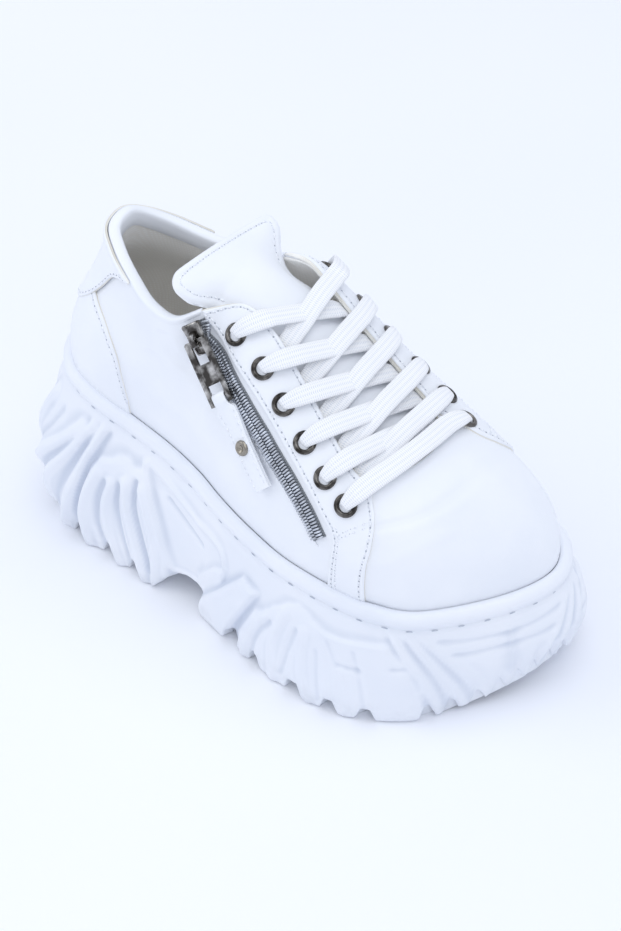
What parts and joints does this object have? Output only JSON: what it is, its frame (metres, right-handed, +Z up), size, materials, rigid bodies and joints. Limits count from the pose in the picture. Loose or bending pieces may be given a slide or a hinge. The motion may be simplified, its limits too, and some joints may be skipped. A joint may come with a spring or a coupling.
{
  "type": "platform sneaker",
  "caption": "Chunky platform sneaker for one right foot: smooth upper open at collar and throat, laced front, side zip with a swinging pull, thick lugged sole.",
  "frame": {"origin": "on the floor under the middle of the shoe's box, the shoe standing on its lugs", "axes": "+X from heel to toe, +Y to the inner (medial) side, +Z up"},
  "size_m": [0.267, 0.114, 0.1626],
  "materials": {
    "moulded_sole": "satin moulded white",
    "smooth_leather": "smooth coated white",
    "insole_board": "matt off-white textile",
    "gunmetal": "polished dark nickel",
    "woven_lace": "flat woven white",
    "zip_metal": "antique silver",
    "dark_nickel": "dark nickel",
    "strap_leather": "smooth coated white",
    "rivet_nickel": "worn nickel"
  },
  "bodies": {
    "shoe": {"sole": "moulded_sole", "upper": "smooth_leather", "tongue": "smooth_leather", "insole": "insole_board", "eyelet_lateral_1": "gunmetal", "eyelet_lateral_2": "gunmetal", "eyelet_lateral_3": "gunmetal", "eyelet_lateral_4": "gunmetal", "eyelet_lateral_5": "gunmetal", "eyelet_lateral_6": "gunmetal", "eyelet_medial_1": "gunmetal", "eyelet_medial_2": "gunmetal", "eyelet_medial_3": "gunmetal", "eyelet_medial_4": "gunmetal", "eyelet_medial_5": "gunmetal", "eyelet_medial_6": "gunmetal", "lace_crossing_1": "woven_lace", "lace_crossing_2": "woven_lace", "lace_crossing_3": "woven_lace", "lace_crossing_4": "woven_lace", "lace_crossing_5": "woven_lace", "lace_bar": "woven_lace", "zip_chain": "zip_metal", "zip_slider": "zip_metal"},
    "pull": {"zip_pull": "dark_nickel", "pull_strap": "strap_leather", "pull_rivet": "rivet_nickel"}
  },
  "joints": [
    {"name": "pull_swing", "type": "hinge", "parent": "shoe", "child": "pull", "pos_m": [-0.01815, -0.03399, 0.14115], "axis": [-0.7666, -0.4347, -0.4726], "range_deg": [0, 130]}
  ]
}
